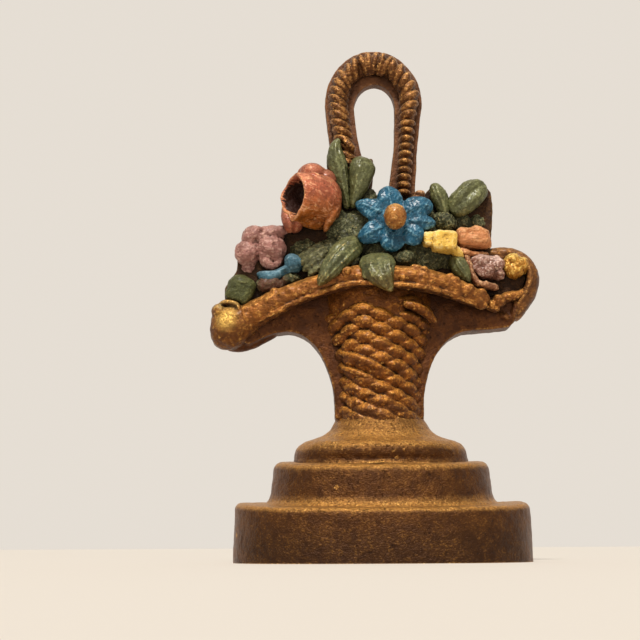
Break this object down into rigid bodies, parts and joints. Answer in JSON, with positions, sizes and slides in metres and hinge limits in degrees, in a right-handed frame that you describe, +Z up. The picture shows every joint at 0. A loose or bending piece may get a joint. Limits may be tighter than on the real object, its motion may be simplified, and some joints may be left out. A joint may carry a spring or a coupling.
{
  "type": "door stop",
  "caption": "Painted cast-iron door stop: a footed woven basket of flowers with a rope loop handle on a stepped half-round base, flat at the back.",
  "frame": {"origin": "on the flat bottom of the base, under the middle of the bounding box", "axes": "+Z up towards the loop handle; -Y is the front, with the flowers; +Y is the flat back; +X is to the right as seen from the front"},
  "size_m": [0.1132, 0.036, 0.1795],
  "materials": {
    "bronze_paint": "hand-brushed bronze paint with rubbed gold on the high places, over rough cast iron",
    "gold_paint": "brushed gold-bronze paint, hammered look, worn darker in the hollows",
    "brown_paint": "matte brown paint with fine sand-cast pitting",
    "green_paint": "semi-matte green paint, dry-brushed paler on the ridges",
    "dark_green_paint": "matte dark green paint on a stippled ground",
    "rose_paint": "coral to orange paint with visible brush strokes",
    "blue_paint": "glossy blue paint, dry-brushed paler on the ridges",
    "pale_blue_paint": "dull blue-green paint",
    "ochre_paint": "ochre and gold paint",
    "mauve_paint": "dusty mauve paint with gold rubbed on the high places",
    "yellow_paint": "yellow paint",
    "peach_paint": "peach paint"
  },
  "bodies": {
    "root": {"base_lower_step": "bronze_paint", "base_middle_step": "bronze_paint", "base_upper_step": "bronze_paint", "basket_web": "brown_paint", "basket_weave": "bronze_paint", "basket_rim": "gold_paint", "rim_bead": "gold_paint", "rim_tail": "gold_paint", "rim_scroll_left": "gold_paint", "rim_scroll_right": "bronze_paint", "handle_flange": "brown_paint", "handle_rope": "bronze_paint", "flower_bed": "brown_paint", "moss_ground": "dark_green_paint", "moss_lump": "dark_green_paint", "stems": "green_paint", "rose_rolled_petal": "rose_paint", "rose_right_petal": "rose_paint", "rose_top_petal": "rose_paint", "rose_lower_petal": "rose_paint", "blue_petals": "blue_paint", "blue_ball": "ochre_paint", "small_bud": "dark_green_paint", "small_blue_flower": "pale_blue_paint", "mauve_flower_left": "mauve_paint", "mauve_flower_right": "mauve_paint", "curled_petal": "mauve_paint", "gold_bud": "gold_paint", "yellow_flower": "yellow_paint", "peach_flower": "peach_paint", "green_bud": "green_paint", "leaf_top_narrow": "green_paint", "leaf_top_broad": "green_paint", "leaf_right_small": "green_paint", "leaf_right_large": "green_paint", "leaf_centre_left": "green_paint", "leaf_centre_hanging": "green_paint", "leaf_lower_right": "green_paint"}
  },
  "joints": []
}
